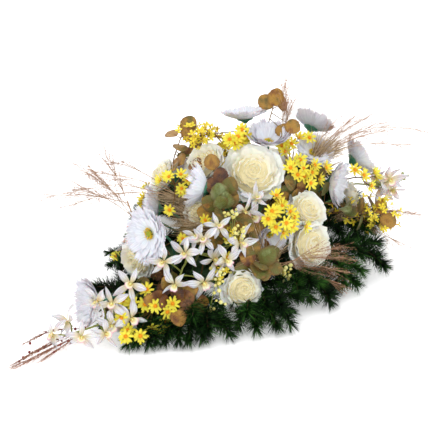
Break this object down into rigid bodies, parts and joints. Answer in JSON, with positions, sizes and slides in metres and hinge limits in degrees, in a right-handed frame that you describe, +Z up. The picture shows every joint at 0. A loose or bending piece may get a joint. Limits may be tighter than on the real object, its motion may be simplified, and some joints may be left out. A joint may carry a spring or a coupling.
{
  "type": "teardrop funeral wreath",
  "caption": "Teardrop wreath of white, cream and yellow artificial flowers and pine on a foam block, to lie on a grave, coffin or table.",
  "frame": {"origin": "on the flat underside of the foam block, in the middle of the wreath's weight", "axes": "+X from the thin tail to the broad head, +Y across it to the back, +Z up from the surface it lies on"},
  "size_m": [0.8699, 0.5269, 0.3439],
  "materials": {
    "rose": "cream silk petals, matt",
    "gerbera": "white silk petals, matt",
    "orchid": "white silk petals with a yellow throat",
    "daisy": "yellow silk petals",
    "leaf": "brown and olive pressed leaves",
    "yellow_twig": "small yellow flowers on brown twigs",
    "cream_bud": "pale yellow buds on a green stem",
    "dried_grass": "dried grass stems and seed heads",
    "pine": "dark green needles",
    "foam": "green dry foam, finely porous"
  },
  "bodies": {
    "root": {"cream_buds_front": "cream_bud", "daisy_back": "daisy", "daisy_centre": "daisy", "daisy_left": "daisy", "daisy_right": "daisy", "daisy_tail": "daisy", "daisy_upper": "daisy", "foam_block": "foam", "gerbera_centre_low": "gerbera", "gerbera_centre_side": "gerbera", "gerbera_head_right": "gerbera", "gerbera_head_top": "gerbera", "gerbera_left_back": "gerbera", "gerbera_left_front": "gerbera", "gerbera_right_low": "gerbera", "gerbera_right_top": "gerbera", "gerbera_tail": "gerbera", "gerbera_top_back": "gerbera", "gerbera_top_front": "gerbera", "gerberas_back": "gerbera", "grass_front": "dried_grass", "grass_head": "dried_grass", "grass_left": "dried_grass", "grass_right": "dried_grass", "grass_tail": "dried_grass", "grass_top": "dried_grass", "leaves_back": "leaf", "leaves_centre": "leaf", "leaves_front": "leaf", "leaves_left": "leaf", "leaves_right": "leaf", "leaves_tail": "leaf", "leaves_top": "leaf", "orchid_back": "orchid", "orchid_front": "orchid", "orchid_head_right": "orchid", "orchid_middle": "orchid", "orchid_tail": "orchid", "pine_branch_01": "pine", "pine_branch_02": "pine", "pine_branch_03": "pine", "pine_branch_04": "pine", "pine_branch_05": "pine", "pine_branch_06": "pine", "pine_branch_07": "pine", "pine_branch_08": "pine", "pine_branch_09": "pine", "pine_branch_10": "pine", "rose_far_left": "rose", "rose_front_small": "rose", "rose_head_right": "rose", "rose_large": "rose", "rose_left_low": "rose", "rose_left_middle": "rose", "rose_right_lower": "rose", "rose_right_upper": "rose", "rose_upper_left": "rose", "roses_back": "rose", "yellow_twig_left": "yellow_twig", "yellow_twig_right": "yellow_twig"}
  },
  "joints": []
}
